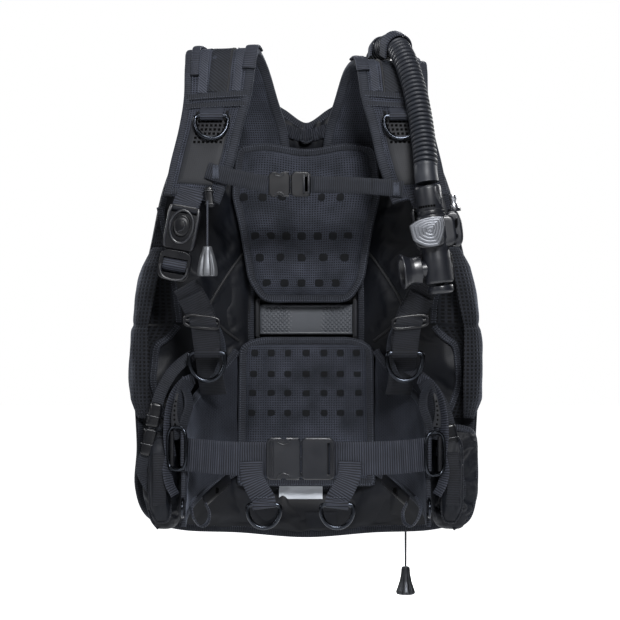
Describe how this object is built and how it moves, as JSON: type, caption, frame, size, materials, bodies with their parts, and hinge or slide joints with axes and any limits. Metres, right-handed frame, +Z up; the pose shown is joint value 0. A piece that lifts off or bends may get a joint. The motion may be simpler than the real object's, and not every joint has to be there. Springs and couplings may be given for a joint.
{
  "type": "buoyancy compensator vest",
  "caption": "Back-inflation diving vest with a tank band, corrugated inflator hose, padded harness, weight pockets and dump valves.",
  "frame": {"origin": "middle of the back plate's land, on the face the diving cylinder rests on, level with the plate insert", "axes": "+Y out of the land towards the cylinder, +Z up towards the neck, +X to the wearer's left, the side of the inflator"},
  "size_m": [0.5478, 0.4855, 0.888],
  "materials": {
    "coated_nylon": "satin",
    "bladder_film": "satin",
    "padded_mesh": "matte",
    "gusset_mesh": "matte",
    "webbing": "matte",
    "pull_cord": "matte",
    "moulded_plastic": "satin",
    "buckle_plastic": "semi-gloss",
    "coated_steel": "satin",
    "insert_rubber": "matte",
    "silver_plastic": "satin metallic",
    "plated_brass": "polished"
  },
  "bodies": {
    "vest": {"back_plate": "moulded_plastic", "plate_insert": "insert_rubber", "back_pad": "padded_mesh", "lumbar_pad": "padded_mesh", "cummerbund_left": "padded_mesh", "cummerbund_right": "padded_mesh", "air_bladder": "bladder_film", "air_cell_front": "coated_nylon", "air_cell_rear": "coated_nylon", "side_gusset_left": "gusset_mesh", "side_gusset_right": "gusset_mesh", "pocket_left": "coated_nylon", "pocket_right": "coated_nylon", "shoulder_strap_left": "padded_mesh", "shoulder_strap_right": "padded_mesh", "shoulder_buckle_left": "buckle_plastic", "shoulder_buckle_right": "buckle_plastic", "lower_webbing_left": "webbing", "lower_webbing_right": "webbing", "chest_webbing_right": "webbing", "chest_buckle_socket": "buckle_plastic", "waist_belt_right": "webbing", "waist_buckle_socket": "buckle_plastic", "grab_handle": "webbing", "tank_band": "webbing", "cam_frame": "moulded_plastic", "hose": "insert_rubber", "hose_elbow": "moulded_plastic", "inflator_body": "moulded_plastic", "inflator_nipple": "plated_brass", "mouthpiece": "insert_rubber", "lower_valve": "moulded_plastic", "shoulder_valve": "moulded_plastic"},
    "chest_plug": {"chest_buckle_plug": "buckle_plastic", "chest_webbing_left": "webbing"},
    "waist_plug": {"waist_buckle_plug": "buckle_plastic", "waist_belt_left": "webbing"},
    "chest_ring_right": {"chest_d_ring_right": "coated_steel"},
    "lower_ring_right": {"lower_d_ring_right": "coated_steel"},
    "belt_ring_right": {"belt_d_ring_right": "coated_steel"},
    "corner_ring_right": {"corner_d_ring_right": "coated_steel"},
    "shoulder_plug_right": {"shoulder_plug_right": "buckle_plastic"},
    "release_button_right": {"release_button_right": "buckle_plastic"},
    "weight_pouch_right": {"weight_pouch_right": "coated_nylon"},
    "chest_ring_left": {"chest_d_ring_left": "coated_steel"},
    "lower_ring_left": {"lower_d_ring_left": "coated_steel"},
    "belt_ring_left": {"belt_d_ring_left": "coated_steel"},
    "corner_ring_left": {"corner_d_ring_left": "coated_steel"},
    "shoulder_plug_left": {"shoulder_plug_left": "buckle_plastic"},
    "release_button_left": {"release_button_left": "buckle_plastic"},
    "weight_pouch_left": {"weight_pouch_left": "coated_nylon"},
    "inflate_button": {"inflate_button": "silver_plastic"},
    "deflate_button": {"deflate_button": "moulded_plastic"},
    "shoulder_dump_pull": {"shoulder_cord": "pull_cord", "shoulder_knob": "silver_plastic"},
    "shoulder_poppet": {"shoulder_poppet": "insert_rubber"},
    "lower_dump_pull": {"lower_cord": "pull_cord", "lower_knob": "silver_plastic"},
    "lower_poppet": {"lower_poppet": "insert_rubber"},
    "cam_lever": {"cam_lever": "moulded_plastic"}
  },
  "joints": [
    {"name": "chest_buckle_slide", "type": "slide", "parent": "vest", "child": "chest_plug", "axis": [1, 0, 0], "range_m": [0, 0.028]},
    {"name": "waist_buckle_slide", "type": "slide", "parent": "vest", "child": "waist_plug", "axis": [1, 0, 0], "range_m": [0, 0.044]},
    {"name": "chest_ring_right_swing", "type": "hinge", "parent": "vest", "child": "chest_ring_right", "pos_m": [-0.143, -0.1785, 0.308], "axis": [-1, 0, 0], "range_deg": [0, 110]},
    {"name": "lower_ring_right_swing", "type": "hinge", "parent": "vest", "child": "lower_ring_right", "pos_m": [-0.149, -0.185, -0.05], "axis": [-1, 0, 0], "range_deg": [-10, 100]},
    {"name": "belt_ring_right_swing", "type": "hinge", "parent": "vest", "child": "belt_ring_right", "pos_m": [-0.062, -0.255, -0.272], "axis": [-1, 0, 0], "range_deg": [-40, 100]},
    {"name": "corner_ring_right_swing", "type": "hinge", "parent": "vest", "child": "corner_ring_right", "pos_m": [-0.184, -0.207, -0.281], "axis": [0, 0, 1], "range_deg": [-45, 45]},
    {"name": "shoulder_release_right", "type": "slide", "parent": "vest", "child": "shoulder_plug_right", "axis": [-0.183, 0, -0.9831], "range_m": [0, 0.034]},
    {"name": "release_button_right_press", "type": "slide", "parent": "vest", "child": "release_button_right", "axis": [0, 1, 0], "range_m": [0, 0.0022], "stiffness_N_per_m": 400, "springref_m": -0.002},
    {"name": "weight_pouch_right_pull", "type": "slide", "parent": "vest", "child": "weight_pouch_right", "axis": [0, -1, 0], "range_m": [0, 0.1]},
    {"name": "chest_ring_left_swing", "type": "hinge", "parent": "vest", "child": "chest_ring_left", "pos_m": [0.143, -0.1785, 0.308], "axis": [-1, 0, 0], "range_deg": [0, 6]},
    {"name": "lower_ring_left_swing", "type": "hinge", "parent": "vest", "child": "lower_ring_left", "pos_m": [0.149, -0.185, -0.05], "axis": [-1, 0, 0], "range_deg": [-10, 100]},
    {"name": "belt_ring_left_swing", "type": "hinge", "parent": "waist_plug", "child": "belt_ring_left", "pos_m": [0.046, -0.255, -0.272], "axis": [-1, 0, 0], "range_deg": [-40, 100]},
    {"name": "corner_ring_left_swing", "type": "hinge", "parent": "vest", "child": "corner_ring_left", "pos_m": [0.184, -0.207, -0.281], "axis": [0, 0, 1], "range_deg": [-45, 45]},
    {"name": "shoulder_release_left", "type": "slide", "parent": "vest", "child": "shoulder_plug_left", "axis": [0.183, 0, -0.9831], "range_m": [0, 0.034]},
    {"name": "release_button_left_press", "type": "slide", "parent": "vest", "child": "release_button_left", "axis": [0, 1, 0], "range_m": [0, 0.0022], "stiffness_N_per_m": 400, "springref_m": -0.002},
    {"name": "weight_pouch_left_pull", "type": "slide", "parent": "vest", "child": "weight_pouch_left", "axis": [0, -1, 0], "range_m": [0, 0.1]},
    {"name": "inflate_press", "type": "slide", "parent": "vest", "child": "inflate_button", "axis": [0, 1, 0], "range_m": [0, 0.0025], "stiffness_N_per_m": 500, "springref_m": -0.002},
    {"name": "deflate_press", "type": "slide", "parent": "vest", "child": "deflate_button", "axis": [-0.1306, 0, 0.9914], "range_m": [0, 0.0025], "stiffness_N_per_m": 400, "springref_m": -0.002},
    {"name": "shoulder_pull", "type": "slide", "parent": "vest", "child": "shoulder_dump_pull", "axis": [0, 0, -1], "range_m": [0, 0.015], "stiffness_N_per_m": 300, "springref_m": -0.004},
    {"name": "shoulder_poppet_lift", "type": "slide", "parent": "vest", "child": "shoulder_poppet", "axis": [0, 1, 0], "range_m": [0, 0.0036]},
    {"name": "lower_pull", "type": "slide", "parent": "vest", "child": "lower_dump_pull", "axis": [0, 0, -1], "range_m": [0, 0.015], "stiffness_N_per_m": 300, "springref_m": -0.004},
    {"name": "lower_poppet_lift", "type": "slide", "parent": "vest", "child": "lower_poppet", "axis": [0, 1, 0], "range_m": [0, 0.0036]},
    {"name": "cam_lever_swing", "type": "hinge", "parent": "vest", "child": "cam_lever", "pos_m": [-0.023, 0.1985, 0.1], "axis": [0, 0, 1], "range_deg": [0, 110]}
  ],
  "couplings": [
    {"joint": "shoulder_poppet_lift", "follows": "shoulder_pull", "ratio": 0.233},
    {"joint": "lower_poppet_lift", "follows": "lower_pull", "ratio": 0.233}
  ]
}
